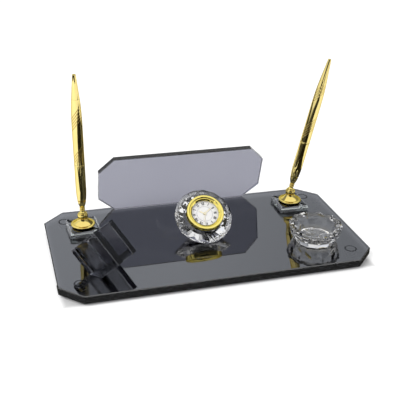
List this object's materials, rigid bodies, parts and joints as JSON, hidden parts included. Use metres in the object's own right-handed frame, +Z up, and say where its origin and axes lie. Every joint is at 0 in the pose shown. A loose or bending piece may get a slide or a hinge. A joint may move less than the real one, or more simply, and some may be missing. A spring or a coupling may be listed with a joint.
{
  "type": "desk nameplate set with pens and clock",
  "caption": "Smoked-glass desk set: blank leaning nameplate, gold ballpoint pens on swivel sockets, crystal clock, tilted glass card holder and faceted dish.",
  "frame": {"origin": "middle of the footprint, on the table under the feet", "axes": "+X along the base to the right of a person facing the set, +Y towards the nameplate, +Z up"},
  "size_m": [0.3, 0.164, 0.1712],
  "materials": {
    "smoked_glass": "polished smoked glass with ground edges",
    "cut_crystal": "clear cut crystal, polished facets",
    "clear_glass": "clear flat glass",
    "gold_plate": "polished gold-coloured plating",
    "white_enamel": "smooth white dial enamel",
    "steel": "plain bright steel",
    "black_plastic": "moulded black plastic",
    "clear_rubber": "soft translucent bumper",
    "black_rubber": "soft black rubber"
  },
  "bodies": {
    "desk_set": {"base_plate": "smoked_glass", "foot_front_left": "clear_rubber", "foot_front_right": "clear_rubber", "foot_back_left": "clear_rubber", "foot_back_right": "clear_rubber", "nameplate": "smoked_glass", "holder_near_plate": "smoked_glass", "holder_far_plate": "smoked_glass", "holder_front_wall": "smoked_glass", "holder_side_wall": "smoked_glass", "dish": "cut_crystal", "clock_crystal": "cut_crystal", "plinth_left": "cut_crystal", "pad_left": "black_rubber", "bell_left": "gold_plate", "plinth_right": "cut_crystal", "pad_right": "black_rubber", "bell_right": "gold_plate"},
    "collar_left": {"collar_left": "gold_plate", "ball_pin_a_left": "steel", "ball_pin_b_left": "steel"},
    "socket_left": {"ball_left": "gold_plate", "socket_tube_left": "gold_plate"},
    "pen_left": {"pen_nose_left": "gold_plate", "pen_grip_left": "gold_plate", "pen_ring_left": "gold_plate", "pen_sleeve_left": "gold_plate"},
    "pen_top_left": {"pen_barrel_left": "gold_plate", "pen_cone_left": "gold_plate"},
    "refill_left": {"refill_left": "steel"},
    "collar_right": {"collar_right": "gold_plate", "ball_pin_a_right": "steel", "ball_pin_b_right": "steel"},
    "socket_right": {"ball_right": "gold_plate", "socket_tube_right": "gold_plate"},
    "pen_right": {"pen_nose_right": "gold_plate", "pen_grip_right": "gold_plate", "pen_ring_right": "gold_plate", "pen_sleeve_right": "gold_plate"},
    "pen_top_right": {"pen_barrel_right": "gold_plate", "pen_cone_right": "gold_plate"},
    "refill_right": {"refill_right": "steel"},
    "clock_insert": {"clock_case": "gold_plate", "clock_gasket": "black_rubber", "clock_bezel": "gold_plate", "clock_lens": "clear_glass", "clock_dial": "white_enamel", "clock_back_cover": "steel", "clock_movement": "black_plastic", "clock_battery": "steel"},
    "hour_hand": {"hour_hand": "gold_plate"},
    "minute_hand": {"minute_hand": "gold_plate"},
    "second_hand": {"second_hand": "gold_plate"},
    "setting_knob": {"setting_knob": "black_plastic"}
  },
  "joints": [
    {"name": "turn_left", "type": "hinge", "parent": "desk_set", "child": "collar_left", "pos_m": [-0.1138, 0.0375, 0.0292], "axis": [0, 0, 1], "continuous": true},
    {"name": "tilt_left", "type": "hinge", "parent": "collar_left", "child": "socket_left", "pos_m": [-0.1138, 0.0375, 0.0292], "axis": [0.9659, -0.2588, 0], "range_deg": [-38, 32]},
    {"name": "lift_left", "type": "slide", "parent": "socket_left", "child": "pen_left", "axis": [-0.0135, -0.0506, 0.9986], "range_m": [0, 0.03]},
    {"name": "twist_left", "type": "hinge", "parent": "pen_left", "child": "pen_top_left", "pos_m": [-0.1138, 0.0375, 0.0292], "axis": [-0.0135, -0.0506, 0.9986], "range_deg": [0, 180]},
    {"name": "point_left", "type": "slide", "parent": "pen_left", "child": "refill_left", "axis": [0.0135, 0.0506, -0.9986], "range_m": [0, 0.0025]},
    {"name": "turn_right", "type": "hinge", "parent": "desk_set", "child": "collar_right", "pos_m": [0.1075, 0.0425, 0.0292], "axis": [0, 0, 1], "continuous": true},
    {"name": "tilt_right", "type": "hinge", "parent": "collar_right", "child": "socket_right", "pos_m": [0.1075, 0.0425, 0.0292], "axis": [-0.2079, 0.9781, 0], "range_deg": [-49.3, 20.7]},
    {"name": "lift_right", "type": "slide", "parent": "socket_right", "child": "pen_right", "axis": [0.2416, 0.0514, 0.969], "range_m": [0, 0.03]},
    {"name": "twist_right", "type": "hinge", "parent": "pen_right", "child": "pen_top_right", "pos_m": [0.1075, 0.0425, 0.0292], "axis": [0.2416, 0.0514, 0.969], "range_deg": [0, 180]},
    {"name": "point_right", "type": "slide", "parent": "pen_right", "child": "refill_right", "axis": [-0.2416, -0.0514, -0.969], "range_m": [0, 0.0025]},
    {"name": "clock_out", "type": "slide", "parent": "desk_set", "child": "clock_insert", "axis": [0, -0.6293, 0.7771], "range_m": [0, 0.016]},
    {"name": "minute_turn", "type": "hinge", "parent": "clock_insert", "child": "minute_hand", "pos_m": [0, 0.00065, 0.03334], "axis": [0, -0.6293, 0.7771], "continuous": true},
    {"name": "hour_turn", "type": "hinge", "parent": "clock_insert", "child": "hour_hand", "pos_m": [0, 0.00065, 0.03334], "axis": [0, -0.6293, 0.7771], "continuous": true},
    {"name": "second_turn", "type": "hinge", "parent": "clock_insert", "child": "second_hand", "pos_m": [0, 0.00065, 0.03334], "axis": [0, -0.6293, 0.7771], "continuous": true},
    {"name": "knob_turn", "type": "hinge", "parent": "clock_insert", "child": "setting_knob", "pos_m": [-0.0065, 0.00065, 0.03334], "axis": [0, -0.6293, 0.7771], "continuous": true}
  ],
  "couplings": [
    {"joint": "point_left", "follows": "twist_left", "m_per_rad": 0.000795},
    {"joint": "point_right", "follows": "twist_right", "m_per_rad": 0.000795},
    {"joint": "hour_turn", "follows": "minute_turn", "ratio": 0.083333},
    {"joint": "knob_turn", "follows": "minute_turn", "ratio": -1}
  ]
}
